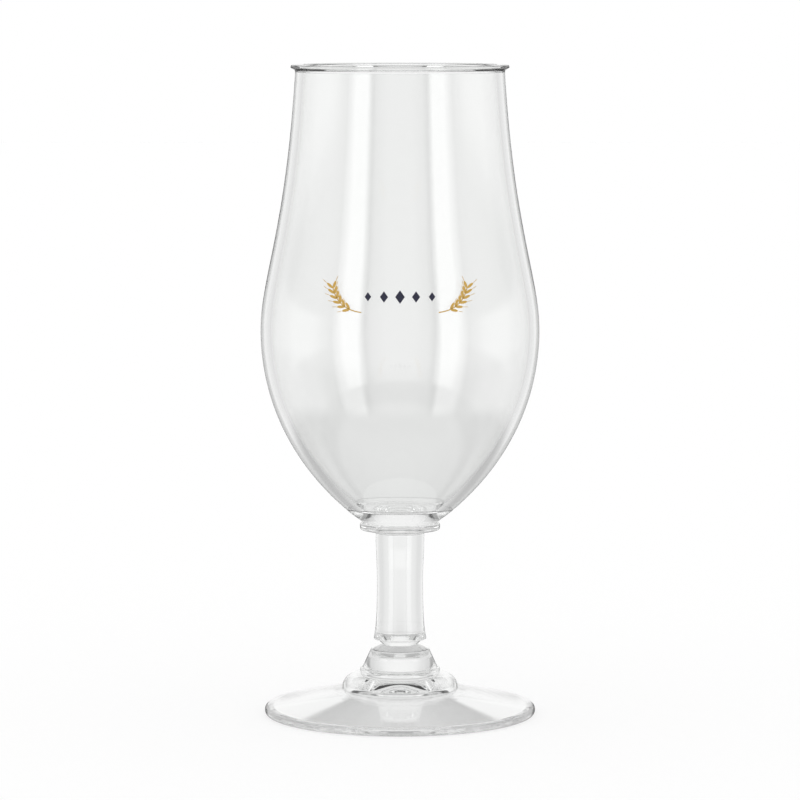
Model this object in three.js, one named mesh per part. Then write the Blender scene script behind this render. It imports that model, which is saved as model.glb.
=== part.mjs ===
// A footed beer glass of clear glass: a tulip bowl, a waisted stem and a hollow foot.
// Millimetres, +Z up, the table at z = 0 and the glass's axis on the Z axis.
// The three pieces are turned shapes, each drawn as radius and height in its own frame, then
// stacked: a boss under the bowl sits in the stem's top, a tenon under the stem in the foot.
import * as THREE from 'three';

// Fineness of the round shapes
const SIDES = 48;
const FILLET_STEP = Math.PI / 5;
const WALL_STEPS = 24;
const STEM_STEPS = 5;
const BULGE_STEPS = 5;

// Joints: each boss or tenon lies in its socket with a clear bond line all round it
const BOND_LINE = 0.1;
const BOSS_DIAMETER = 11;
const BOSS_LENGTH = 3;
const SEAT_DIAMETER = 20.8;
const TENON_DIAMETER = 6.8;
const TENON_LENGTH = 5;
const NECK_DIAMETER = 9.7;

// Bowl: heights from its seat on the stem, flares as radius gained for each unit of height
const HEEL_DIAMETER = 27.7;
const HEEL_HEIGHT = 2.6;
const HEEL_FLARE = 1.2;
const HEEL_PULL = 16.7;
const BELLY_DIAMETER = 77.3;
const BELLY_HEIGHT = 53.4;
const UNDERBELLY_PULL = 14;
const SHOULDER_PULL = 14.7;
const THROAT_DIAMETER = 57.9;
const THROAT_HEIGHT = 124.4;
const THROAT_FLARE = 0.062;
const THROAT_PULL = 43.3;
const BELLY_WALL = 2.9;
const THROAT_WALL = 2.35;
const FLOOR_THICKNESS = 5.5;
const FLOOR_FILLET = 0.8;

// Lip round the mouth: a cove under a thin rim that stands out
const COVE_RISE = 0.9;
const COVE_FILLET = 1.5;
const RIM_OVERHANG = 1.3;
const RIM_RISE = 0.8;
const RIM_THICKNESS = 0.8;
const RIM_TAPER = 0.3;
const RIM_FILLET = 0.3;
const MOUTH_FILLET = 0.6;

// Stem: heights from its seat on the foot
const STEM_HEIGHT = 34.2;
const STEM_LIP_DIAMETER = 14.7;
const STEM_LIP_HEIGHT = 1.5;
const STEM_LIP_FILLET = 0.25;
const UNDERCUT_DIAMETER = 12;
const UNDERCUT_HEIGHT = 1.1;
const STEM_FLARE = 0.186;
const STEM_FLARE_PULL = 3.5;
const WAIST_DIAMETER = 12.8;
const WAIST_HEIGHT = 17.7;
const WAIST_PULL = 8;
const STEM_TOP_DIAMETER = 13.5;
const STEM_TOP_FILLET = 2;
const FLANGE_DIAMETER = 22.3;
const FLANGE_THICKNESS = 1.7;
const FLANGE_UNDERCUT = 0.3;
const FLANGE_FILLET = 0.6;
const FLANGE_SHOULDER = 0.3;

// Foot: heights above the table, then rises from one ring of the hub to the next
const FOOT_DIAMETER = 75.5;
const FOOT_EDGE = 2.3;
const STANDING_RING = 1.8;
const HUB_BASE_DIAMETER = 37.8;
const HUB_BASE_HEIGHT = 6.65;
const HUB_COVE = 1;
const BULGE_DIAMETER = 32.2;
const BULGE_RISE = 4;
const HUB_BEAD_DIAMETER = 22.2;
const HUB_BEAD_RISE = 1.4;
const COLLAR_BOTTOM_DIAMETER = 21;
const COLLAR_TOP_DIAMETER = 17.1;
const COLLAR_RISE = 4.3;
const DISH_DIAMETER = 16.2;
const DISH_RISE = 1.25;
const COLLAR_CHAMFER = 0.95;
const HUB_FILLET = 0.5;
const HUB_FLOOR = 2.2;
const HOLLOW_TOP_DIAMETER = 15;
const HOLLOW_FILLET = 0.5;
const WELL_MOUTH_DIAMETER = 17;
const WELL_MOUTH_HEIGHT = 9.35;
const SHELF_DIAMETER = 26;
const SHELF_HEIGHT = 7.55;
const KNEE_DIAMETER = 30;
const KNEE_HEIGHT = 4.75;
const KNEE_FILLET = 1;

// Heights of the foot's rings, each above the last
const bulgeBase = HUB_BASE_HEIGHT + HUB_COVE;
const bulgeTop = bulgeBase + BULGE_RISE;
const collarBase = bulgeTop + HUB_BEAD_RISE;
const collarTop = collarBase + COLLAR_RISE;
const dishEdge = collarTop + COLLAR_CHAMFER;
const footHeight = dishEdge + DISH_RISE;

// An outline through [radius, height, fillet] corners, with each fillet drawn as an arc.
// A fillet is limited by the straight stretches beside it.
function filleted(corners) {
  const points = [];
  for (const [index, [radius, height, fillet = 0]] of corners.entries()) {
    const corner = new THREE.Vector2(radius, height);
    if (fillet === 0) {
      points.push(corner);
      continue;
    }
    const back = new THREE.Vector2(...corners[index - 1]).sub(corner);
    const ahead = new THREE.Vector2(...corners[index + 1]).sub(corner);
    const room = Math.min(back.length(), ahead.length()) / 2.1;
    back.normalize();
    ahead.normalize();
    const halfAngle = Math.acos(back.dot(ahead)) / 2;
    const reach = Math.min(fillet / Math.tan(halfAngle), room);
    const middle = back.clone().add(ahead).normalize();
    const centre = corner.clone().addScaledVector(middle, reach / Math.cos(halfAngle));
    const start = corner.clone().addScaledVector(back, reach);
    const turn = (Math.PI - 2 * halfAngle) * -Math.sign(back.cross(ahead));
    const steps = Math.ceil(Math.abs(turn) / FILLET_STEP);
    for (let step = 0; step <= steps; step += 1) {
      points.push(start.clone().rotateAround(centre, (turn * step) / steps));
    }
  }
  return points;
}

function cubic(...ends) {
  return new THREE.CubicBezierCurve(...ends.map(([radius, height]) => new THREE.Vector2(radius, height)));
}

// A solid of revolution about Z from an outline that starts and ends on the axis.
function turned(name, outline) {
  const apart = (point, index) => index === 0 || point.distanceTo(outline[index - 1]) > 1e-6;
  const geometry = new THREE.LatheGeometry(outline.filter(apart), SIDES);
  geometry.rotateX(Math.PI / 2);
  const clearGlass = new THREE.MeshStandardMaterial({
    color: 0xf1f3f3,
    roughness: 0.03,
    metalness: 0,
    transparent: true,
    opacity: 0.35,
  });
  const mesh = new THREE.Mesh(geometry, clearGlass);
  mesh.name = name;
  return mesh;
}

// The bowl's outer wall: straight flanks above the heel that swell into the belly and draw in
// again to the throat.
function outerWall() {
  const heel = HEEL_DIAMETER / 2;
  const belly = BELLY_DIAMETER / 2;
  const throat = THROAT_DIAMETER / 2;
  const wall = new THREE.CurvePath();
  wall.add(cubic(
    [heel, HEEL_HEIGHT],
    [heel + HEEL_PULL * HEEL_FLARE, HEEL_HEIGHT + HEEL_PULL],
    [belly, BELLY_HEIGHT - UNDERBELLY_PULL],
    [belly, BELLY_HEIGHT],
  ));
  wall.add(cubic(
    [belly, BELLY_HEIGHT],
    [belly, BELLY_HEIGHT + SHOULDER_PULL],
    [throat + THROAT_PULL * THROAT_FLARE, THROAT_HEIGHT - THROAT_PULL],
    [throat, THROAT_HEIGHT],
  ));
  return wall;
}

// The inner wall's point that lies square across the wall from a share of the outer wall.
function across(wall, share) {
  const point = wall.getPointAt(share);
  const along = wall.getTangentAt(share);
  const rise = THREE.MathUtils.smoothstep(point.y, BELLY_HEIGHT, THROAT_HEIGHT);
  const thickness = THREE.MathUtils.lerp(BELLY_WALL, THROAT_WALL, rise);
  return point.add(new THREE.Vector2(-along.y, along.x).multiplyScalar(thickness));
}

function makeBowl() {
  const wall = outerWall();
  const outside = wall.getSpacedPoints(WALL_STEPS);
  const inside = outside
    .map((point, index) => across(wall, 1 - index / WALL_STEPS))
    .filter((point) => point.y > FLOOR_THICKNESS + FLOOR_FILLET);
  const [mouth] = inside;
  const floorEdge = inside.at(-1);
  const throat = THROAT_DIAMETER / 2;
  const coveTop = THROAT_HEIGHT + COVE_RISE;
  const rimEdge = coveTop + RIM_RISE;
  const rimTop = rimEdge + RIM_THICKNESS;
  const base = filleted([
    [0, -BOSS_LENGTH],
    [BOSS_DIAMETER / 2, -BOSS_LENGTH],
    [BOSS_DIAMETER / 2, 0],
    [SEAT_DIAMETER / 2, 0],
  ]);
  const lip = filleted([
    [throat, THROAT_HEIGHT],
    [throat, coveTop, COVE_FILLET],
    [throat + RIM_OVERHANG, rimEdge, RIM_FILLET],
    [throat + RIM_OVERHANG - RIM_TAPER, rimTop, RIM_FILLET],
    [mouth.x, rimTop, MOUTH_FILLET],
    [mouth.x, THROAT_HEIGHT],
  ]);
  const floor = filleted([
    [floorEdge.x, floorEdge.y],
    [floorEdge.x - (floorEdge.y - FLOOR_THICKNESS) * HEEL_FLARE, FLOOR_THICKNESS, FLOOR_FILLET],
    [0, FLOOR_THICKNESS],
  ]);
  return turned('bowl', [...base, ...outside, ...lip, ...inside, ...floor]);
}

function makeStem() {
  const lip = STEM_LIP_DIAMETER / 2;
  const waist = WAIST_DIAMETER / 2;
  const top = STEM_TOP_DIAMETER / 2;
  const flange = FLANGE_DIAMETER / 2;
  const flangeTop = STEM_HEIGHT - FLANGE_SHOULDER;
  const flangeBottom = flangeTop - FLANGE_THICKNESS;
  const shaftTop = flangeBottom - FLANGE_UNDERCUT - STEM_TOP_FILLET;
  const socket = BOSS_DIAMETER / 2 + BOND_LINE;
  const socketFloor = STEM_HEIGHT - BOSS_LENGTH;
  const flareStart = STEM_LIP_HEIGHT + 2 * STEM_LIP_FILLET;
  const flareEdge = lip - STEM_FLARE * (flareStart - STEM_LIP_HEIGHT);
  const base = filleted([
    [0, -TENON_LENGTH],
    [TENON_DIAMETER / 2, -TENON_LENGTH],
    [TENON_DIAMETER / 2, 0],
    [NECK_DIAMETER / 2, 0],
    [UNDERCUT_DIAMETER / 2, UNDERCUT_HEIGHT],
    [lip, STEM_LIP_HEIGHT, STEM_LIP_FILLET],
    [flareEdge, flareStart],
  ]);
  const flare = cubic(
    [flareEdge, flareStart],
    [flareEdge - STEM_FLARE * STEM_FLARE_PULL, flareStart + STEM_FLARE_PULL],
    [waist, WAIST_HEIGHT - WAIST_PULL],
    [waist, WAIST_HEIGHT],
  ).getPoints(STEM_STEPS);
  const shaft = cubic(
    [waist, WAIST_HEIGHT],
    [waist, WAIST_HEIGHT + WAIST_PULL / 2],
    [top, shaftTop - WAIST_PULL / 2],
    [top, shaftTop],
  ).getPoints(STEM_STEPS);
  const head = filleted([
    [top, shaftTop],
    [top, flangeBottom - FLANGE_UNDERCUT, STEM_TOP_FILLET],
    [flange, flangeBottom, FLANGE_FILLET],
    [flange, flangeTop, FLANGE_FILLET],
    [SEAT_DIAMETER / 2, STEM_HEIGHT],
    [socket, STEM_HEIGHT],
    [socket, socketFloor],
    [0, socketFloor],
  ]);
  return turned('stem', [...base, ...flare, ...shaft, ...head]);
}

function makeFoot() {
  const foot = FOOT_DIAMETER / 2;
  const ringOutside = foot - FOOT_EDGE / 2;
  const bulge = BULGE_DIAMETER / 2;
  const bead = HUB_BEAD_DIAMETER / 2;
  const socket = TENON_DIAMETER / 2 + BOND_LINE;
  const socketFloor = footHeight - TENON_LENGTH;
  const hollowTop = socketFloor - HUB_FLOOR;
  const plate = filleted([
    [0, hollowTop],
    [HOLLOW_TOP_DIAMETER / 2, hollowTop, HOLLOW_FILLET],
    [WELL_MOUTH_DIAMETER / 2, WELL_MOUTH_HEIGHT, HOLLOW_FILLET],
    [SHELF_DIAMETER / 2, SHELF_HEIGHT, KNEE_FILLET],
    [KNEE_DIAMETER / 2, KNEE_HEIGHT, KNEE_FILLET],
    [ringOutside - STANDING_RING, 0],
    [foot, 0, FOOT_EDGE / 2],
    [foot, FOOT_EDGE, FOOT_EDGE / 2],
    [HUB_BASE_DIAMETER / 2, HUB_BASE_HEIGHT, HUB_FILLET],
    [bulge, bulgeBase - HUB_COVE / 2, HUB_FILLET],
    [bulge, bulgeBase],
  ]);
  const dome = new THREE.EllipseCurve(bead, bulgeBase, bulge - bead, BULGE_RISE, 0, Math.PI / 2);
  const hub = filleted([
    [bead, bulgeTop],
    [bead, collarBase, HUB_FILLET],
    [COLLAR_BOTTOM_DIAMETER / 2, collarBase, HUB_FILLET],
    [COLLAR_TOP_DIAMETER / 2, collarTop, HUB_FILLET],
    [DISH_DIAMETER / 2, dishEdge, HUB_FILLET],
    [NECK_DIAMETER / 2, footHeight],
    [socket, footHeight],
    [socket, socketFloor],
    [0, socketFloor],
  ]);
  return turned('foot', [...plate, ...dome.getPoints(BULGE_STEPS), ...hub]);
}

const foot = makeFoot();
const stem = makeStem();
const bowl = makeBowl();
stem.position.z = footHeight + BOND_LINE;
bowl.position.z = stem.position.z + STEM_HEIGHT + BOND_LINE;

const glass = new THREE.Group();
glass.add(foot, stem, bowl);

export default glass;
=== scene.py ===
import math

import bpy
from mathutils import Matrix, Vector
from mathutils.geometry import interpolate_bezier


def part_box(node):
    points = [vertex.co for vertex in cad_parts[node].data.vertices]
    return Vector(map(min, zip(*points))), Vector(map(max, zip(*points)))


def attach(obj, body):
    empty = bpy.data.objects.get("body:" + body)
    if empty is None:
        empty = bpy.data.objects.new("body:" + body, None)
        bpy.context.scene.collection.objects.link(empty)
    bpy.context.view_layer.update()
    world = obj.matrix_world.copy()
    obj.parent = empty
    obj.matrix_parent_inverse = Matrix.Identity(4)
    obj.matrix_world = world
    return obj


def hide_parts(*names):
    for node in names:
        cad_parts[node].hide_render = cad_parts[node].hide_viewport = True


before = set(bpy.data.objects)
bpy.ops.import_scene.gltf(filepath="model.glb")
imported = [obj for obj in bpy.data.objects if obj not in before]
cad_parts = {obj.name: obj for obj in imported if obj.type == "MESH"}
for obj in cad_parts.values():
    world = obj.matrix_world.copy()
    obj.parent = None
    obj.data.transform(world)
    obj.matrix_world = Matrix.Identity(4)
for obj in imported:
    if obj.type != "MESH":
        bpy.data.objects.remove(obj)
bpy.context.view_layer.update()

MM = 0.001

# Fineness of the round shapes: fillet room and guard are shares of the shorter side beside a fillet,
# and points closer than the same-point distance count as one
SIDES = 256
FILLET_STEP = math.pi / 32
FILLET_ROOM = 1 / 2.1
FILLET_GUARD = 0.01
WALL_STEPS = 48
STEM_STEPS = 16
BULGE_STEPS = 16
CREASE_ANGLE = 10
SAME_POINT = 1e-4

# Joints between the pieces
BOND_LINE = 0.1
BOSS_DIAMETER = 11
BOSS_LENGTH = 3
SEAT_DIAMETER = 20.8
TENON_DIAMETER = 6.8
TENON_LENGTH = 5
NECK_DIAMETER = 9.7

# Bowl: heights from its seat on the stem, flares as radius gained for each unit of height
HEEL_DIAMETER = 27.7
HEEL_HEIGHT = 2.6
HEEL_FLARE = 1.2
HEEL_PULL = 16.7
BELLY_DIAMETER = 77.3
BELLY_HEIGHT = 53.4
UNDERBELLY_PULL = 14
SHOULDER_PULL = 14.7
THROAT_DIAMETER = 57.9
THROAT_HEIGHT = 124.4
THROAT_FLARE = 0.062
THROAT_PULL = 43.3
BELLY_WALL = 2.9
THROAT_WALL = 2.35
FLOOR_THICKNESS = 5.5
FLOOR_FILLET = 0.8

# Lip round the mouth
COVE_RISE = 0.9
COVE_FILLET = 1.5
RIM_OVERHANG = 1.3
RIM_RISE = 0.8
RIM_THICKNESS = 0.8
RIM_TAPER = 0.3
RIM_FILLET = 0.3
MOUTH_FILLET = 0.6

# Stem: heights from its seat on the foot
STEM_HEIGHT = 34.2
STEM_LIP_DIAMETER = 14.7
STEM_LIP_HEIGHT = 1.5
STEM_LIP_FILLET = 0.25
UNDERCUT_DIAMETER = 12
UNDERCUT_HEIGHT = 1.1
STEM_FLARE = 0.186
STEM_FLARE_PULL = 3.5
WAIST_DIAMETER = 12.8
WAIST_HEIGHT = 17.7
WAIST_PULL = 8
STEM_TOP_DIAMETER = 13.5
STEM_TOP_FILLET = 2
FLANGE_DIAMETER = 22.3
FLANGE_THICKNESS = 1.7
FLANGE_UNDERCUT = 0.3
FLANGE_FILLET = 0.6
FLANGE_SHOULDER = 0.3

# Foot: heights above the table, then rises from one ring of the hub to the next
FOOT_DIAMETER = 75.5
FOOT_EDGE = 2.3
STANDING_RING = 1.8
HUB_BASE_DIAMETER = 37.8
HUB_BASE_HEIGHT = 6.65
HUB_COVE = 1
BULGE_DIAMETER = 32.2
BULGE_RISE = 4
HUB_BEAD_DIAMETER = 22.2
HUB_BEAD_RISE = 1.4
COLLAR_BOTTOM_DIAMETER = 21
COLLAR_TOP_DIAMETER = 17.1
COLLAR_RISE = 4.3
DISH_DIAMETER = 16.2
DISH_RISE = 1.25
COLLAR_CHAMFER = 0.95
HUB_FILLET = 0.5
HUB_FLOOR = 2.2
HOLLOW_TOP_DIAMETER = 15
HOLLOW_FILLET = 0.5
WELL_MOUTH_DIAMETER = 17
WELL_MOUTH_HEIGHT = 9.35
SHELF_DIAMETER = 26
SHELF_HEIGHT = 7.55
KNEE_DIAMETER = 30
KNEE_HEIGHT = 4.75
KNEE_FILLET = 1

# Glass: the spread of its tint, and the waves in its skin
TINT_PATCH = 30
WAVE_LENGTH = 12
WAVE_DEPTH = 0.004

# Print on the front of the bowl: the height of its middle and the film of ink
PRINT_HEIGHT = 119.5
INK_LIFT = 0.02
INK_THICKNESS = 0.03
INK_PATCH = 0.8
INK_GRAIN_DEPTH = 0.02
INK_CUTS = 1

# Ears of barley, drawn flat: across from the middle of the print and up. The ear starts at a share
# of its stalk's length
STALK_START = (10.4, -4.2)
STALK_PULL = (16.6, -3.6)
STALK_TIP = (18, 2)
STALK_WIDTH = 0.3
STALK_STEPS = 40
EAR_START = 0.3
GRAINS = 6
GRAIN_LENGTH = 2.1
GRAIN_WIDTH = 0.75
GRAIN_LEAN = 36
GRAIN_SIDES = 16
AWN_LENGTH = 1.5
AWN_WIDTH = 0.14
HUSK_OVERLAP = 0.05

# Row of lozenges, smaller by the same step from the middle out
LOZENGES = 5
LOZENGE_SPACING = 4.3
LOZENGE_WIDTH = 2.6
LOZENGE_HEIGHT = 3.6
LOZENGE_SHRINK = 0.16
LOZENGE_SIDES = 4
LOZENGE_CUTS = 2

# Camera, as it stood for the photograph
CAMERA_DISTANCE = 1161
CAMERA_HEIGHT = 205.65
CAMERA_TILT = 5.787
CAMERA_LENS = 189.1
SENSOR_WIDTH = 36

# Studio walls: brightness from the front round to the back, with each (from, to, gain) step in turn
FRONT_LEVEL = 0.75
ROUND_STEPS = (
    (13, 27, -0.3), (27, 29, -0.42), (33.5, 35, 1.63), (56, 58, -1.23), (60, 80, 0.75),
    (107, 119, -0.25), (119, 134, -0.15), (143, 165, 0.22),
)

# The table behind the glass, a little dimmer than the wall behind it, and darker nearer the glass
# with painted shadow of the glass: round the glass and by elevation
TABLE_END_AND_SHADOW_LOSS = 0.2
TABLE_END_AND_SHADOW_ROUND = ((158, 166, 0.6), (171, 176, 0.4))
TABLE_END_AND_SHADOW_STEPS = ((-20, -8, -0.65), (-6.2, -5.6, -0.35))

# The dim upper part of the side walls
SIDE_LEVEL = 0.4
SIDE_ROUND = ((58, 62, 1), (128, 136, -1))
SIDE_STEPS = ((5, 8, 1),)

# A dark flag beside the backdrop, which draws the outline of the glass where it mirrors
FLAG_LEVEL = 0.2
FLAG_ROUND = ((150, 156, 1), (172, 175, -1))
FLAG_STEPS = ((2, 6, -1),)

# The dark ceiling, lit again overhead
CEILING_LEVEL = 0.02
CEILING_STEPS = ((26, 28, 1),)
ZENITH_STEPS = ((36, 40, 0.6),)

# The table under the glass, by the angle from a line that points down and a little to the back
UNDER_TILT = 11.5
UNDER_STEPS = ((56, 61, -1),)
UNDER_LEVEL = 0.85
UNDER_FADE = ((40, 50, -0.23),)
UNDER_MIRRORED_LEVEL = 0.15

# The table that the glass stands on, a hair lower than its foot
TABLE_DROP = 0.1
TABLE_REACH = 4000
TABLE_PAINT = 0.91


def linear(code):
    """A colour written as sRGB hex, as the linear values that a shader takes."""
    parts = [int(code[place:place + 2], 16) / 255 for place in (1, 3, 5)]
    flat = [part / 12.92 if part <= 0.04045 else ((part + 0.055) / 1.055) ** 2.4 for part in parts]
    return (*flat, 1)


def add_node(tree, kind, inputs=None, **settings):
    """Adds a node. Each input, by name or number, takes a value or another node's output."""
    made = tree.nodes.new(kind)
    for name, value in settings.items():
        setattr(made, name, value)
    for socket, value in (inputs or {}).items():
        if isinstance(value, bpy.types.NodeSocket):
            tree.links.new(value, made.inputs[socket])
        else:
            made.inputs[socket].default_value = value
    return made


def terraced(tree, source, level, steps):
    """A brightness that starts at a level and gains each (from, to, gain) step as the source rises."""
    for start, end, gain in steps:
        ranges = {"Value": source, "From Min": start, "From Max": end, "To Min": 0, "To Max": gain}
        step = add_node(tree, "ShaderNodeMapRange", ranges).outputs[0]
        level = add_node(tree, "ShaderNodeMath", {0: level, 1: step}, operation="ADD").outputs[0]
    return level


# Outlines of the pieces


def filleted(corners):
    """Points through (radius, height, fillet) corners, with each fillet drawn as an arc.

    A point close to each end of an arc keeps the straight stretch beside it flat when it is shaded.
    """
    points = []
    for index, (radius, height, fillet) in enumerate(corners):
        corner = Vector((radius, height))
        if not fillet:
            points.append(corner)
            continue
        back = Vector(corners[index - 1][:2]) - corner
        ahead = Vector(corners[index + 1][:2]) - corner
        shorter = min(back.length, ahead.length)
        back.normalize()
        ahead.normalize()
        half_angle = back.angle(ahead) / 2
        reach = min(fillet / math.tan(half_angle), shorter * FILLET_ROOM)
        guard = reach + shorter * FILLET_GUARD
        centre = corner + (back + ahead).normalized() * (reach / math.cos(half_angle))
        spoke = corner + back * reach - centre
        side = math.copysign(1, Matrix((back, ahead)).determinant())
        turn = (math.pi - 2 * half_angle) * -side
        steps = math.ceil(abs(turn) / FILLET_STEP)
        points.append(corner + back * guard)
        for step in range(steps + 1):
            angle = turn * step / steps
            swing = Matrix(((math.cos(angle), -math.sin(angle)), (math.sin(angle), math.cos(angle))))
            points.append(centre + swing @ spoke)
        points.append(corner + ahead * guard)
    return points


def curve(ends, steps):
    """Points on a Bezier curve from its start, two pulls and end."""
    return [Vector(point) for point in interpolate_bezier(*(Vector(end) for end in ends), steps + 1)]


def smooth_share(value, start, end):
    """0 before the start, 1 after the end, and an even S between them."""
    share = min(max((value - start) / (end - start), 0), 1)
    return share * share * (3 - 2 * share)


def bowl_outline():
    """The bonded seat and boss, then the wall, the lip and the inside down to the axis."""
    heel = HEEL_DIAMETER / 2
    belly = BELLY_DIAMETER / 2
    throat = THROAT_DIAMETER / 2
    boss = BOSS_DIAMETER / 2
    seat = filleted([
        (0, -BOSS_LENGTH, 0),
        (boss, -BOSS_LENGTH, 0),
        (boss, 0, 0),
        (SEAT_DIAMETER / 2, 0, 0),
    ])
    outside = curve([
        (heel, HEEL_HEIGHT),
        (heel + HEEL_PULL * HEEL_FLARE, HEEL_HEIGHT + HEEL_PULL),
        (belly, BELLY_HEIGHT - UNDERBELLY_PULL),
        (belly, BELLY_HEIGHT),
    ], WALL_STEPS)
    outside += curve([
        (belly, BELLY_HEIGHT),
        (belly, BELLY_HEIGHT + SHOULDER_PULL),
        (throat + THROAT_PULL * THROAT_FLARE, THROAT_HEIGHT - THROAT_PULL),
        (throat, THROAT_HEIGHT),
    ], WALL_STEPS)[1:]
    inside = []
    for index, point in enumerate(outside):
        before = outside[max(index - 1, 0)]
        after = outside[min(index + 1, len(outside) - 1)]
        along = (after - before).normalized()
        rise = smooth_share(point.y, BELLY_HEIGHT, THROAT_HEIGHT)
        thickness = BELLY_WALL + (THROAT_WALL - BELLY_WALL) * rise
        inside.insert(0, point + Vector((-along.y, along.x)) * thickness)
    mouth = inside[0].x
    inside = [point for point in inside if point.y > FLOOR_THICKNESS + FLOOR_FILLET]
    edge = inside[-1]
    floor = filleted([
        (*edge, 0),
        (edge.x - (edge.y - FLOOR_THICKNESS) * HEEL_FLARE, FLOOR_THICKNESS, FLOOR_FILLET),
        (0, FLOOR_THICKNESS, 0),
    ])
    cove_top = THROAT_HEIGHT + COVE_RISE
    rim_edge = cove_top + RIM_RISE
    rim_top = rim_edge + RIM_THICKNESS
    lip = filleted([
        (throat, THROAT_HEIGHT, 0),
        (throat, cove_top, COVE_FILLET),
        (throat + RIM_OVERHANG, rim_edge, RIM_FILLET),
        (throat + RIM_OVERHANG - RIM_TAPER, rim_top, RIM_FILLET),
        (mouth, rim_top, MOUTH_FILLET),
        (mouth, THROAT_HEIGHT, 0),
    ])
    return seat, outside + lip + inside + floor[1:], []


def stem_outline():
    """The bonded tenon, then the lip, the waisted shaft and the flange, then the bonded socket."""
    lip = STEM_LIP_DIAMETER / 2
    waist = WAIST_DIAMETER / 2
    top = STEM_TOP_DIAMETER / 2
    flange = FLANGE_DIAMETER / 2
    tenon = TENON_DIAMETER / 2
    flange_top = STEM_HEIGHT - FLANGE_SHOULDER
    flange_bottom = flange_top - FLANGE_THICKNESS
    shaft_top = flange_bottom - FLANGE_UNDERCUT - STEM_TOP_FILLET
    flare_start = STEM_LIP_HEIGHT + 2 * STEM_LIP_FILLET
    flare = lip - STEM_FLARE * (flare_start - STEM_LIP_HEIGHT)
    socket = BOSS_DIAMETER / 2 + BOND_LINE
    socket_floor = STEM_HEIGHT - BOSS_LENGTH
    base = filleted([
        (0, -TENON_LENGTH, 0),
        (tenon, -TENON_LENGTH, 0),
        (tenon, 0, 0),
        (NECK_DIAMETER / 2, 0, 0),
    ])
    foot_lip = filleted([
        (NECK_DIAMETER / 2, 0, 0),
        (UNDERCUT_DIAMETER / 2, UNDERCUT_HEIGHT, 0),
        (lip, STEM_LIP_HEIGHT, STEM_LIP_FILLET),
        (flare, flare_start, 0),
    ])
    shaft = curve([
        (flare, flare_start),
        (flare - STEM_FLARE * STEM_FLARE_PULL, flare_start + STEM_FLARE_PULL),
        (waist, WAIST_HEIGHT - WAIST_PULL),
        (waist, WAIST_HEIGHT),
    ], STEM_STEPS)[1:]
    shaft += curve([
        (waist, WAIST_HEIGHT),
        (waist, WAIST_HEIGHT + WAIST_PULL / 2),
        (top, shaft_top - WAIST_PULL / 2),
        (top, shaft_top),
    ], STEM_STEPS)[1:]
    head = filleted([
        (top, shaft_top, 0),
        (top, flange_bottom - FLANGE_UNDERCUT, STEM_TOP_FILLET),
        (flange, flange_bottom, FLANGE_FILLET),
        (flange, flange_top, FLANGE_FILLET),
        (SEAT_DIAMETER / 2, STEM_HEIGHT, 0),
    ])
    seat = filleted([
        (socket, STEM_HEIGHT, 0),
        (socket, socket_floor, 0),
        (0, socket_floor, 0),
    ])
    return base, foot_lip[1:] + shaft + head[1:-1], head[-1:] + seat


def foot_outline():
    """The hollow underside, the standing ring, the plate and the hub, then the bonded socket."""
    foot = FOOT_DIAMETER / 2
    ring_outside = foot - FOOT_EDGE / 2
    bulge = BULGE_DIAMETER / 2
    bead = HUB_BEAD_DIAMETER / 2
    bulge_base = HUB_BASE_HEIGHT + HUB_COVE
    bulge_top = bulge_base + BULGE_RISE
    collar_base = bulge_top + HUB_BEAD_RISE
    collar_top = collar_base + COLLAR_RISE
    dish_edge = collar_top + COLLAR_CHAMFER
    foot_height = dish_edge + DISH_RISE
    socket = TENON_DIAMETER / 2 + BOND_LINE
    socket_floor = foot_height - TENON_LENGTH
    hollow_top = socket_floor - HUB_FLOOR
    plate = filleted([
        (0, hollow_top, 0),
        (HOLLOW_TOP_DIAMETER / 2, hollow_top, HOLLOW_FILLET),
        (WELL_MOUTH_DIAMETER / 2, WELL_MOUTH_HEIGHT, HOLLOW_FILLET),
        (SHELF_DIAMETER / 2, SHELF_HEIGHT, KNEE_FILLET),
        (KNEE_DIAMETER / 2, KNEE_HEIGHT, KNEE_FILLET),
        (ring_outside - STANDING_RING, 0, 0),
        (foot, 0, FOOT_EDGE / 2),
        (foot, FOOT_EDGE, FOOT_EDGE / 2),
        (HUB_BASE_DIAMETER / 2, HUB_BASE_HEIGHT, HUB_FILLET),
        (bulge, bulge_base - HUB_COVE / 2, HUB_FILLET),
        (bulge, bulge_base, 0),
    ])
    dome = []
    for step in range(1, BULGE_STEPS + 1):
        angle = math.pi / 2 * step / BULGE_STEPS
        swell = bead + (bulge - bead) * math.cos(angle)
        dome.append(Vector((swell, bulge_base + BULGE_RISE * math.sin(angle))))
    hub = filleted([
        (bead, bulge_top, 0),
        (bead, collar_base, HUB_FILLET),
        (COLLAR_BOTTOM_DIAMETER / 2, collar_base, HUB_FILLET),
        (COLLAR_TOP_DIAMETER / 2, collar_top, HUB_FILLET),
        (DISH_DIAMETER / 2, dish_edge, HUB_FILLET),
        (NECK_DIAMETER / 2, foot_height, 0),
    ])
    seat = filleted([
        (socket, foot_height, 0),
        (socket, socket_floor, 0),
        (0, socket_floor, 0),
    ])
    return [], plate + dome + hub[1:-1], hub[-1:] + seat


# Materials


def blank_material(name):
    """A new material without nodes, and its tree."""
    material = bpy.data.materials.new(name)
    material.use_nodes = True
    material.node_tree.nodes.clear()
    return material, material.node_tree


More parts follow.
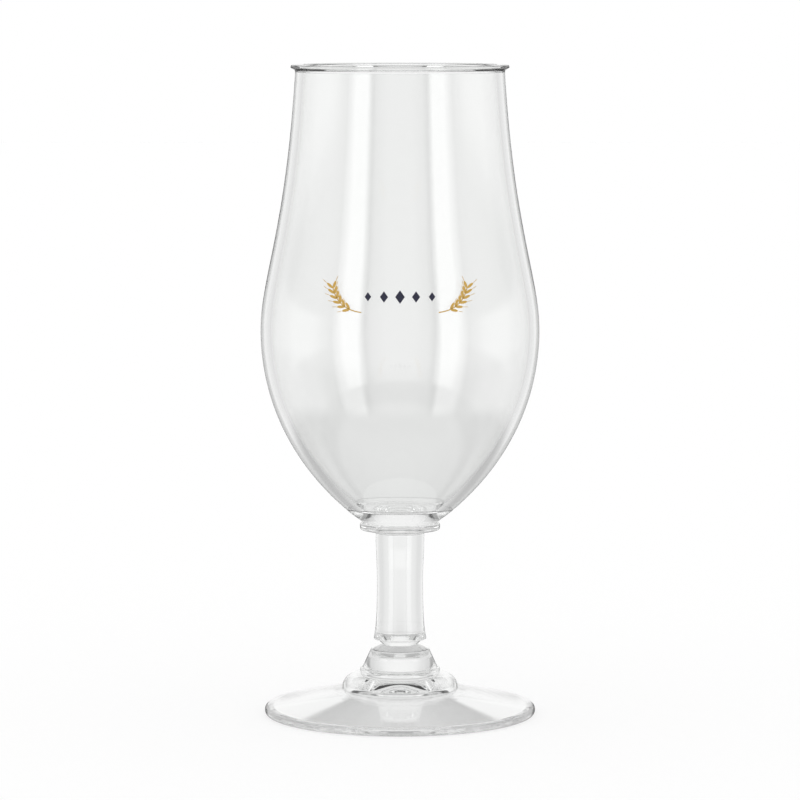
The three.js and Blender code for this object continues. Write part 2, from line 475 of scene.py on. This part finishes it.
def clear_glass():
    """Pressed soda-lime glass, fire-polished: colourless and clear, with sharp reflections.

    Its tint drifts a little from place to place, and its skin has the faint waves of the mould.
    Light on its way to the table passes straight through, so the glass casts only a faint shadow.
    """
    material, tree = blank_material("pressed_soda_lime_glass")
    place = add_node(tree, "ShaderNodeTexCoord").outputs["Object"]
    drift = add_node(tree, "ShaderNodeTexNoise", {
        "Vector": place,
        "Scale": 1 / (TINT_PATCH * MM),
        "Detail": 2.0,
    })
    tint = add_node(
        tree,
        "ShaderNodeMix",
        {"Factor": drift.outputs[0], 6: linear("#f7f8f7"), 7: linear("#f9f9f9")},
        data_type="RGBA",
    )
    waves = add_node(tree, "ShaderNodeTexNoise", {
        "Vector": place,
        "Scale": 1 / (WAVE_LENGTH * MM),
        "Detail": 0.0,
    })
    skin = add_node(tree, "ShaderNodeBump", {"Height": waves.outputs[0], "Distance": WAVE_DEPTH * MM})
    glass = add_node(tree, "ShaderNodeBsdfPrincipled", {
        "Base Color": tint.outputs[2],
        "Roughness": 0.0,
        "IOR": 1.52,
        "Transmission Weight": 1.0,
        "Normal": skin.outputs[0],
    })
    passing = add_node(tree, "ShaderNodeBsdfTransparent", {"Color": linear("#f7f7f7")})
    rays = add_node(tree, "ShaderNodeLightPath").outputs
    to_table = add_node(
        tree,
        "ShaderNodeMath",
        {0: rays["Is Shadow Ray"], 1: rays["Is Diffuse Ray"]},
        operation="MAXIMUM",
    )
    mixed = add_node(tree, "ShaderNodeMixShader", {
        0: to_table.outputs[0],
        1: glass.outputs[0],
        2: passing.outputs[0],
    })
    add_node(tree, "ShaderNodeOutputMaterial", {"Surface": mixed.outputs[0]})
    return material


def clear_bond():
    """Where two pieces are bonded the join is as clear as the glass, so nothing shows there."""
    material, tree = blank_material("clear_bond")
    passing = add_node(tree, "ShaderNodeBsdfTransparent", {"Color": linear("#ffffff")})
    add_node(tree, "ShaderNodeOutputMaterial", {"Surface": passing.outputs[0]})
    return material


def enamel_ink(name, darker, lighter):
    """Fired enamel ink: an opaque, satin film whose colour varies a little with its thickness."""
    material, tree = blank_material(name)
    place = add_node(tree, "ShaderNodeTexCoord").outputs["Object"]
    patches = add_node(tree, "ShaderNodeTexNoise", {
        "Vector": place,
        "Scale": 1 / (INK_PATCH * MM),
        "Detail": 4.0,
    })
    colour = add_node(
        tree,
        "ShaderNodeMix",
        {"Factor": patches.outputs[0], 6: linear(darker), 7: linear(lighter)},
        data_type="RGBA",
    )
    grain = add_node(tree, "ShaderNodeBump", {
        "Height": patches.outputs[0],
        "Strength": 0.2,
        "Distance": INK_GRAIN_DEPTH * MM,
    })
    film = add_node(tree, "ShaderNodeBsdfPrincipled", {
        "Base Color": colour.outputs[2],
        "Roughness": 0.35,
        "Normal": grain.outputs[0],
    })
    add_node(tree, "ShaderNodeOutputMaterial", {"Surface": film.outputs[0]})
    return material


def white_laminate():
    """Matt white laminate: white to the camera but for the glass's own faint shadow."""
    material, tree = blank_material("matt_white_laminate")
    seen = add_node(tree, "ShaderNodeLightPath").outputs["Is Camera Ray"]
    paint = add_node(tree, "ShaderNodeMix", {"Factor": seen, "A": TABLE_PAINT, "B": 1.0})
    matt = add_node(tree, "ShaderNodeBsdfDiffuse", {"Color": paint.outputs["Result"]})
    add_node(tree, "ShaderNodeOutputMaterial", {"Surface": matt.outputs[0]})
    return material


# Turning


def turning_tree():
    """Geometry nodes that turn an outline round the Z axis into one closed shape."""
    tree = bpy.data.node_groups.new("turned_piece", "GeometryNodeTree")
    inputs = {
        "Outline": "NodeSocketGeometry",
        "Sides": "NodeSocketInt",
        "Crease angle": "NodeSocketFloat",
        "Glass": "NodeSocketMaterial",
        "Bond": "NodeSocketMaterial",
    }
    for name, kind in inputs.items():
        tree.interface.new_socket(name, in_out="INPUT", socket_type=kind)
    tree.interface.new_socket("Piece", in_out="OUTPUT", socket_type="NodeSocketGeometry")
    given = add_node(tree, "NodeGroupInput").outputs

    # A grid with a row of points for each point of the outline, and one column more than it has sides
    counts = add_node(tree, "GeometryNodeAttributeDomainSize", {"Geometry": given["Outline"]}).outputs
    columns = add_node(tree, "ShaderNodeMath", {0: given["Sides"], 1: 1}, operation="ADD").outputs[0]
    grid = add_node(tree, "GeometryNodeMeshGrid", {
        "Vertices X": counts["Point Count"],
        "Vertices Y": columns,
    })

    # Each row takes its point of the outline, and each column its angle round the axis
    index = add_node(tree, "GeometryNodeInputIndex").outputs[0]
    ratio = add_node(tree, "ShaderNodeMath", {0: index, 1: columns}, operation="DIVIDE").outputs[0]
    row = add_node(tree, "ShaderNodeMath", {0: ratio}, operation="FLOOR").outputs[0]
    column = add_node(tree, "ShaderNodeMath", {0: index, 1: columns}, operation="MODULO").outputs[0]
    share = add_node(tree, "ShaderNodeMath", {0: column, 1: given["Sides"]}, operation="DIVIDE").outputs[0]
    angle = add_node(tree, "ShaderNodeMath", {0: share, 1: -2 * math.pi}, operation="MULTIPLY").outputs[0]
    position = add_node(tree, "GeometryNodeInputPosition").outputs[0]
    spot = add_node(
        tree,
        "GeometryNodeSampleIndex",
        {"Geometry": given["Outline"], "Value": position, "Index": row},
        data_type="FLOAT_VECTOR",
    ).outputs[0]
    turn = {"Vector": spot, "Angle": angle}
    place = add_node(tree, "ShaderNodeVectorRotate", turn, rotation_type="Z_AXIS")
    turned = add_node(tree, "GeometryNodeSetPosition", {
        "Geometry": grid.outputs["Mesh"],
        "Position": place.outputs[0],
    })

    # Each face takes the mark of its stretch of the outline: bonded or not
    mark = add_node(tree, "GeometryNodeInputNamedAttribute", {"Name": "bonded"}, data_type="BOOLEAN")
    ratio = add_node(tree, "ShaderNodeMath", {0: index, 1: given["Sides"]}, operation="DIVIDE").outputs[0]
    stretch = add_node(tree, "ShaderNodeMath", {0: ratio}, operation="FLOOR").outputs[0]
    bonded = add_node(
        tree,
        "GeometryNodeSampleIndex",
        {"Geometry": given["Outline"], "Value": mark.outputs[0], "Index": stretch},
        data_type="BOOLEAN",
    ).outputs[0]
    marked = add_node(
        tree,
        "GeometryNodeStoreNamedAttribute",
        {"Geometry": turned.outputs[0], "Name": "bonded", "Value": bonded},
        data_type="BOOLEAN",
        domain="FACE",
    )

    # The first and last columns and the points on the axis are joined, and sharp edges are creased
    closed = add_node(tree, "GeometryNodeMergeByDistance", {
        "Geometry": marked.outputs[0],
        "Distance": SAME_POINT * MM,
    })
    fold = add_node(tree, "GeometryNodeInputMeshEdgeAngle").outputs["Unsigned Angle"]
    flat = add_node(tree, "FunctionNodeCompare", {0: fold, 1: given["Crease angle"]}, operation="LESS_THAN")
    shaded = add_node(tree, "GeometryNodeSetShadeSmooth", {"Geometry": closed.outputs[0]})
    creased = add_node(
        tree,
        "GeometryNodeSetShadeSmooth",
        {"Geometry": shaded.outputs[0], "Shade Smooth": flat.outputs[0]},
        domain="EDGE",
    )
    real = add_node(tree, "GeometryNodeRealizeInstances", {"Geometry": creased.outputs[0]})
    glazed = add_node(tree, "GeometryNodeSetMaterial", {
        "Geometry": real.outputs[0],
        "Material": given["Glass"],
    })
    joined = add_node(tree, "GeometryNodeSetMaterial", {
        "Geometry": glazed.outputs[0],
        "Selection": mark.outputs[0],
        "Material": given["Bond"],
    })
    add_node(tree, "NodeGroupOutput", {"Piece": joined.outputs[0]})
    return tree


def shaped(piece, tree, values):
    """Runs a tree on a piece with its named inputs set, and keeps the result as a plain mesh."""
    modifier = piece.modifiers.new(tree.name, "NODES")
    modifier.node_group = tree
    for item in tree.interface.items_tree:
        if item.name in values:
            modifier[item.identifier] = values[item.name]
    finished = piece.evaluated_get(bpy.context.evaluated_depsgraph_get())
    mesh = bpy.data.meshes.new_from_object(finished)
    piece.modifiers.clear()
    piece.data = mesh
    mesh.name = piece.name


def turned_piece(node, outline, base, tree, materials):
    """A turned piece of glass that stands for a node, its outline raised to the height of its base."""
    before, skin, after = outline
    points = []
    bonded = []
    for index, point in enumerate([*before, *skin, *after]):
        if points and (point - points[-1]).length <= SAME_POINT:
            continue
        points.append(point)
        bonded.append(index + 1 < len(before) or index >= len(before) + len(skin))
    mesh = bpy.data.meshes.new(node + "_outline")
    mesh.from_pydata([(point.x * MM, 0, (point.y + base) * MM) for point in points], [], [])
    marks = mesh.attributes.new("bonded", "BOOLEAN", "POINT")
    marks.data.foreach_set("value", bonded)
    piece = bpy.data.objects.new(node + "_glass", mesh)
    bpy.context.scene.collection.objects.link(piece)
    glass, bond = materials
    shaped(piece, tree, {
        "Sides": SIDES,
        "Crease angle": math.radians(CREASE_ANGLE),
        "Glass": glass,
        "Bond": bond,
    })
    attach(piece, "root")
    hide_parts(node)
    return piece


# Print


def print_tree(name, sizes):
    """A geometry tree that takes the bowl, an ink and the named sizes, with its group input."""
    tree = bpy.data.node_groups.new(name, "GeometryNodeTree")
    inputs = {
        "Blank": "NodeSocketGeometry",
        "Bowl": "NodeSocketObject",
        "Ink": "NodeSocketMaterial",
        "Middle": "NodeSocketFloat",
        "Thickness": "NodeSocketFloat",
        "Lift": "NodeSocketFloat",
        "Reach": "NodeSocketFloat",
        **sizes,
    }
    for size, kind in inputs.items():
        tree.interface.new_socket(size, in_out="INPUT", socket_type=kind)
    tree.interface.new_socket("Print", in_out="OUTPUT", socket_type="NodeSocketGeometry")
    return tree, add_node(tree, "NodeGroupInput").outputs


def lay_on_bowl(tree, given, flat):
    """Gives flat shapes their ink's thickness and lays them on the front of the bowl."""
    real = add_node(tree, "GeometryNodeRealizeInstances", {"Geometry": flat}).outputs[0]

    # Every face is turned to the viewer, and the shapes get a front, a back and an edge
    normal = add_node(tree, "GeometryNodeInputNormal").outputs[0]
    facing = add_node(tree, "ShaderNodeSeparateXYZ", {0: normal}).outputs[2]
    away = add_node(tree, "FunctionNodeCompare", {0: facing, 1: 0.0}, operation="LESS_THAN").outputs[0]
    face = add_node(tree, "GeometryNodeFlipFaces", {"Mesh": real, "Selection": away}).outputs[0]
    fine = add_node(tree, "GeometryNodeSubdivideMesh", {"Mesh": face, "Level": INK_CUTS}).outputs[0]
    raised = add_node(tree, "GeometryNodeExtrudeMesh", {
        "Mesh": fine,
        "Offset": (0, 0, 1),
        "Offset Scale": given["Thickness"],
        "Individual": False,
    }).outputs[0]
    back = add_node(tree, "GeometryNodeFlipFaces", {"Mesh": fine}).outputs[0]
    both = add_node(tree, "GeometryNodeJoinGeometry")
    tree.links.new(raised, both.inputs[0])
    tree.links.new(back, both.inputs[0])
    closed = add_node(tree, "GeometryNodeMergeByDistance", {
        "Geometry": both.outputs[0],
        "Distance": SAME_POINT * MM,
    })

    # Each point goes straight back to the bowl's wall, and stands off it along the wall's normal
    position = add_node(tree, "GeometryNodeInputPosition").outputs[0]
    across, up, off = add_node(tree, "ShaderNodeSeparateXYZ", {0: position}).outputs
    height = add_node(tree, "ShaderNodeMath", {0: up, 1: given["Middle"]}, operation="ADD").outputs[0]
    ahead = add_node(tree, "ShaderNodeMath", {0: given["Reach"], 1: -1}, operation="MULTIPLY").outputs[0]
    start = add_node(tree, "ShaderNodeCombineXYZ", {0: across, 1: ahead, 2: height}).outputs[0]
    bowl = add_node(tree, "GeometryNodeObjectInfo", {"Object": given["Bowl"]}).outputs["Geometry"]
    hit = add_node(tree, "GeometryNodeRaycast", {
        "Target Geometry": bowl,
        "Source Position": start,
        "Ray Direction": (0, 1, 0),
        "Ray Length": given["Reach"],
    }).outputs
    lift = add_node(tree, "ShaderNodeMath", {0: off, 1: given["Lift"]}, operation="ADD").outputs[0]
    place = add_node(
        tree,
        "ShaderNodeVectorMath",
        {0: hit["Hit Normal"], 1: lift, 2: hit["Hit Position"]},
        operation="MULTIPLY_ADD",
    )
    laid = add_node(tree, "GeometryNodeSetPosition", {
        "Geometry": closed.outputs[0],
        "Position": place.outputs[0],
    })
    inked = add_node(tree, "GeometryNodeSetMaterial", {
        "Geometry": laid.outputs[0],
        "Material": given["Ink"],
    })
    add_node(tree, "NodeGroupOutput", {"Print": inked.outputs[0]})


def barley_tree():
    """Two mirrored ears of barley: grains and awns that lean to both sides of a curved stalk."""
    tree, given = print_tree("barley_ears", {
        "Start": "NodeSocketVector",
        "Pull": "NodeSocketVector",
        "Tip": "NodeSocketVector",
        "Ear start": "NodeSocketFloat",
        "Grains": "NodeSocketInt",
        "Lean": "NodeSocketFloat",
        "Grain size": "NodeSocketVector",
        "Grain place": "NodeSocketVector",
        "Awn size": "NodeSocketVector",
        "Awn place": "NodeSocketVector",
        "Stalk side": "NodeSocketVector",
        "Stalk other side": "NodeSocketVector",
    })
    stalk = add_node(tree, "GeometryNodeCurveQuadraticBezier", {
        "Resolution": STALK_STEPS,
        "Start": given["Start"],
        "Middle": given["Pull"],
        "End": given["Tip"],
    }).outputs[0]

    # A husk is a grain with an awn at its tip
    sides = {"Vertices": GRAIN_SIDES}
    disc = add_node(tree, "GeometryNodeMeshCircle", sides, fill_type="TRIANGLE_FAN").outputs[0]
    grain = add_node(tree, "GeometryNodeTransform", {
        "Geometry": disc,
        "Translation": given["Grain place"],
        "Scale": given["Grain size"],
    }).outputs[0]
    awn = add_node(tree, "GeometryNodeTransform", {
        "Geometry": disc,
        "Translation": given["Awn place"],
        "Scale": given["Awn size"],
    }).outputs[0]
    husk = add_node(tree, "GeometryNodeJoinGeometry")
    tree.links.new(grain, husk.inputs[0])
    tree.links.new(awn, husk.inputs[0])

    # Husks lean to both sides of the upper stalk
    ear = add_node(tree, "GeometryNodeTrimCurve", {0: stalk, 2: given["Ear start"], 3: 1.0}).outputs[0]
    spots = add_node(tree, "GeometryNodeCurveToPoints", {"Curve": ear, "Count": given["Grains"]}).outputs
    along, aside, _ = add_node(tree, "ShaderNodeSeparateXYZ", {0: spots["Tangent"]}).outputs
    heading = add_node(tree, "ShaderNodeMath", {0: aside, 1: along}, operation="ARCTAN2").outputs[0]
    parts = add_node(tree, "GeometryNodeJoinGeometry")
    for side in (-1, 1):
        leaning = {0: given["Lean"], 1: side, 2: heading}
        lean = add_node(tree, "ShaderNodeMath", leaning, operation="MULTIPLY_ADD").outputs[0]
        turn = add_node(tree, "ShaderNodeMath", {0: lean, 1: math.pi / 2}, operation="SUBTRACT").outputs[0]
        euler = add_node(tree, "ShaderNodeCombineXYZ", {2: turn}).outputs[0]
        rotation = add_node(tree, "FunctionNodeEulerToRotation", {0: euler}).outputs[0]
        row = add_node(tree, "GeometryNodeInstanceOnPoints", {
            "Points": spots["Points"],
            "Instance": husk.outputs[0],
            "Rotation": rotation,
        })
        tree.links.new(row.outputs[0], parts.inputs[0])

    # The stalk is a flat strip, and the second ear mirrors the first
    level = add_node(tree, "GeometryNodeSetCurveNormal", {"Curve": stalk}, mode="Z_UP").outputs[0]
    breadth = add_node(tree, "GeometryNodeCurvePrimitiveLine", {
        "Start": given["Stalk side"],
        "End": given["Stalk other side"],
    }).outputs[0]
    strip = add_node(tree, "GeometryNodeCurveToMesh", {"Curve": level, "Profile Curve": breadth}).outputs[0]
    tree.links.new(strip, parts.inputs[0])
    first = add_node(tree, "GeometryNodeRealizeInstances", {"Geometry": parts.outputs[0]}).outputs[0]
    second = add_node(tree, "GeometryNodeTransform", {"Geometry": first, "Scale": (-1, 1, 1)}).outputs[0]
    pair = add_node(tree, "GeometryNodeJoinGeometry")
    tree.links.new(first, pair.inputs[0])
    tree.links.new(second, pair.inputs[0])
    lay_on_bowl(tree, given, pair.outputs[0])
    return tree


def lozenge_tree():
    """A row of lozenges that shrink from the middle to both ends."""
    tree, given = print_tree("lozenge_row", {
        "Count": "NodeSocketInt",
        "Start": "NodeSocketVector",
        "Step": "NodeSocketVector",
        "Size": "NodeSocketVector",
        "Shrink": "NodeSocketFloat",
    })
    row = add_node(tree, "GeometryNodeMeshLine", {
        "Count": given["Count"],
        "Start Location": given["Start"],
        "Offset": given["Step"],
    }).outputs[0]
    index = add_node(tree, "GeometryNodeInputIndex").outputs[0]
    last = add_node(tree, "ShaderNodeMath", {0: given["Count"], 1: 1}, operation="SUBTRACT").outputs[0]
    middle = add_node(tree, "ShaderNodeMath", {0: last, 1: 2}, operation="DIVIDE").outputs[0]
    offset = add_node(tree, "ShaderNodeMath", {0: index, 1: middle}, operation="SUBTRACT").outputs[0]
    rank = add_node(tree, "ShaderNodeMath", {0: offset}, operation="ABSOLUTE").outputs[0]
    loss = add_node(tree, "ShaderNodeMath", {0: rank, 1: given["Shrink"]}, operation="MULTIPLY").outputs[0]
    scale = add_node(tree, "ShaderNodeMath", {0: 1.0, 1: loss}, operation="SUBTRACT").outputs[0]
    sides = {"Vertices": LOZENGE_SIDES}
    diamond = add_node(tree, "GeometryNodeMeshCircle", sides, fill_type="TRIANGLE_FAN").outputs[0]
    fine = add_node(tree, "GeometryNodeSubdivideMesh", {"Mesh": diamond, "Level": LOZENGE_CUTS}).outputs[0]
    lozenge = add_node(tree, "GeometryNodeTransform", {"Geometry": fine, "Scale": given["Size"]}).outputs[0]
    placed = add_node(tree, "GeometryNodeInstanceOnPoints", {
        "Points": row,
        "Instance": lozenge,
        "Scale": scale,
    })
    lay_on_bowl(tree, given, placed.outputs[0])
    return tree


def printed_piece(name, tree, bowl, ink, sizes):
    """A printed motif on the bowl's front, in a thin film just off the wall."""
    piece = bpy.data.objects.new(name, bpy.data.meshes.new(name + "_blank"))
    bpy.context.scene.collection.objects.link(piece)
    shaped(piece, tree, {
        "Bowl": bowl,
        "Ink": ink,
        "Middle": PRINT_HEIGHT * MM,
        "Thickness": INK_THICKNESS * MM,
        "Lift": INK_LIFT * MM,
        "Reach": BELLY_DIAMETER * MM,
        **sizes,
    })
    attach(piece, "root")


def flat_spot(across, up):
    """A place on the flat drawing of the print."""
    return across * MM, up * MM, 0


def make_print(bowl):
    """Two gold ears of barley, one at each end of a row of navy lozenges."""
    gold = enamel_ink("gold_enamel_ink", "#c39a42", "#d2ab57")
    navy = enamel_ink("navy_enamel_ink", "#1f2036", "#2a2c44")
    printed_piece("print_barley", barley_tree(), bowl, gold, {
        "Start": flat_spot(*STALK_START),
        "Pull": flat_spot(*STALK_PULL),
        "Tip": flat_spot(*STALK_TIP),
        "Ear start": EAR_START,
        "Grains": GRAINS,
        "Lean": math.radians(GRAIN_LEAN),
        "Grain size": (GRAIN_WIDTH / 2 * MM, GRAIN_LENGTH / 2 * MM, 1),
        "Grain place": flat_spot(0, GRAIN_LENGTH / 2 + HUSK_OVERLAP),
        "Awn size": (AWN_WIDTH / 2 * MM, AWN_LENGTH / 2 * MM, 1),
        "Awn place": flat_spot(0, GRAIN_LENGTH + AWN_LENGTH / 2),
        "Stalk side": flat_spot(-STALK_WIDTH / 2, 0),
        "Stalk other side": flat_spot(STALK_WIDTH / 2, 0),
    })
    printed_piece("print_lozenges", lozenge_tree(), bowl, navy, {
        "Count": LOZENGES,
        "Start": flat_spot(-(LOZENGES - 1) / 2 * LOZENGE_SPACING, 0),
        "Step": flat_spot(LOZENGE_SPACING, 0),
        "Size": (LOZENGE_WIDTH / 2 * MM, LOZENGE_HEIGHT / 2 * MM, 1),
        "Shrink": LOZENGE_SHRINK,
    })


# Studio


def make_camera():
    """The camera at the photograph's distance, height and tilt."""
    camera = bpy.data.objects.new("camera", bpy.data.cameras.new("camera"))
    bpy.context.scene.collection.objects.link(camera)
    bpy.context.scene.camera = camera
    camera.location = (0, -CAMERA_DISTANCE * MM, CAMERA_HEIGHT * MM)
    camera.rotation_euler = (math.radians(90 - CAMERA_TILT), 0, 0)
    camera.data.sensor_width = SENSOR_WIDTH
    camera.data.lens = CAMERA_LENS


def studio_angles(tree):
    """Angles of a direction: round from the front, above the table, and from the line downwards."""
    direction = add_node(tree, "ShaderNodeTexCoord").outputs["Generated"]
    x, y, z = add_node(tree, "ShaderNodeSeparateXYZ", {0: direction}).outputs
    side = add_node(tree, "ShaderNodeMath", {0: x}, operation="ABSOLUTE").outputs[0]
    front = add_node(tree, "ShaderNodeMath", {0: y, 1: -1}, operation="MULTIPLY").outputs[0]
    tilt = math.radians(UNDER_TILT)
    downwards = (0, math.sin(tilt), -math.cos(tilt))
    depth = add_node(tree, "ShaderNodeVectorMath", {0: direction, 1: downwards}, operation="DOT_PRODUCT")
    angles = (
        add_node(tree, "ShaderNodeMath", {0: side, 1: front}, operation="ARCTAN2"),
        add_node(tree, "ShaderNodeMath", {0: z}, operation="ARCSINE"),
        add_node(tree, "ShaderNodeMath", {0: depth.outputs["Value"]}, operation="ARCCOSINE"),
    )
    return [
        add_node(tree, "ShaderNodeMath", {0: angle.outputs[0]}, operation="DEGREES").outputs[0]
        for angle in angles
    ]


def make_studio():
    """A white studio with two tall softboxes in front and a dark ceiling, as the glass shows it.

    Only light that has met the glass sees the room. The camera and the table see plain white.
    """
    world = bpy.data.worlds.new("studio")
    bpy.context.scene.world = world
    world.use_nodes = True
    tree = world.node_tree
    tree.nodes.clear()
    azimuth, elevation, swing = studio_angles(tree)
    rays = add_node(tree, "ShaderNodeLightPath").outputs
    mirrored = rays["Is Reflection Ray"]

    # The walls, less what the table behind the glass takes from the lowest part of the backdrop,
    # a little at its far end and more nearer the glass, as painted shadow of the glass
    walls = terraced(tree, azimuth, FRONT_LEVEL, ROUND_STEPS)
    behind = terraced(tree, azimuth, 0, TABLE_END_AND_SHADOW_ROUND)
    below = terraced(tree, elevation, 1, TABLE_END_AND_SHADOW_STEPS)
    table_end_and_shadow = add_node(tree, "ShaderNodeMath", {0: behind, 1: below}, operation="MULTIPLY").outputs[0]
    dimming = {0: table_end_and_shadow, 1: -TABLE_END_AND_SHADOW_LOSS, 2: walls}
    room = add_node(tree, "ShaderNodeMath", dimming, operation="MULTIPLY_ADD").outputs[0]

    # The share of each direction that the other parts of the room take up, and their brightness
    beside = terraced(tree, azimuth, 0, SIDE_ROUND)
    above = terraced(tree, elevation, 0, SIDE_STEPS)
    sides = add_node(tree, "ShaderNodeMath", {0: beside, 1: above}, operation="MULTIPLY").outputs[0]
    beside = terraced(tree, azimuth, 0, FLAG_ROUND)
    below = terraced(tree, elevation, 1, FLAG_STEPS)
    flag = add_node(tree, "ShaderNodeMath", {0: beside, 1: below}, operation="MULTIPLY").outputs[0]
    flag = add_node(tree, "ShaderNodeMath", {0: flag, 1: mirrored}, operation="MULTIPLY").outputs[0]
    ceiling = terraced(tree, elevation, 0, CEILING_STEPS)
    overhead = terraced(tree, elevation, CEILING_LEVEL, ZENITH_STEPS)
    under = terraced(tree, swing, 1, UNDER_STEPS)
    ground = terraced(tree, swing, UNDER_LEVEL, UNDER_FADE)
    dull = {"Factor": mirrored, "A": ground, "B": UNDER_MIRRORED_LEVEL}
    ground = add_node(tree, "ShaderNodeMix", dull).outputs["Result"]
    for share, level in ((sides, SIDE_LEVEL), (flag, FLAG_LEVEL), (ceiling, overhead), (under, ground)):
        room = add_node(tree, "ShaderNodeMix", {"Factor": share, "A": room, "B": level}).outputs["Result"]

    met_glass = {0: rays["Is Glossy Ray"], 1: rays["Is Transmission Ray"]}
    in_glass = add_node(tree, "ShaderNodeMath", met_glass, operation="MAXIMUM").outputs[0]
    level = add_node(tree, "ShaderNodeMix", {"Factor": in_glass, "A": 1, "B": room}).outputs["Result"]
    light = add_node(tree, "ShaderNodeBackground", {"Color": linear("#ffffff"), "Strength": level})
    add_node(tree, "ShaderNodeOutputWorld", {"Surface": light.outputs[0]})


def make_table():
    """The table that the glass stands on, which the glass itself doesn't show."""
    reach = TABLE_REACH * MM
    drop = -TABLE_DROP * MM
    mesh = bpy.data.meshes.new("table")
    corners = [(-reach, -reach, drop), (reach, -reach, drop), (reach, reach, drop), (-reach, reach, drop)]
    mesh.from_pydata(corners, [], [(0, 1, 2, 3)])
    mesh.materials.append(white_laminate())
    table = bpy.data.objects.new("table", mesh)
    bpy.context.scene.collection.objects.link(table)
    table.visible_glossy = False
    table.visible_transmission = False


make_camera()
make_studio()
make_table()
bpy.context.scene.view_settings.view_transform = "Standard"

# Light crosses many walls of clear glass before it leaves, so it may bounce often
cycles = bpy.context.scene.cycles
cycles.max_bounces = 48
cycles.transmission_bounces = 48
cycles.glossy_bounces = 32
cycles.transparent_max_bounces = 24

glass_and_bond = (clear_glass(), clear_bond())
turning = turning_tree()
stem_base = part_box("stem")[0][2] / MM + TENON_LENGTH
bowl_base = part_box("bowl")[0][2] / MM + BOSS_LENGTH
turned_piece("foot", foot_outline(), 0, turning, glass_and_bond)
turned_piece("stem", stem_outline(), stem_base, turning, glass_and_bond)
bowl = turned_piece("bowl", bowl_outline(), bowl_base, turning, glass_and_bond)
make_print(bowl)
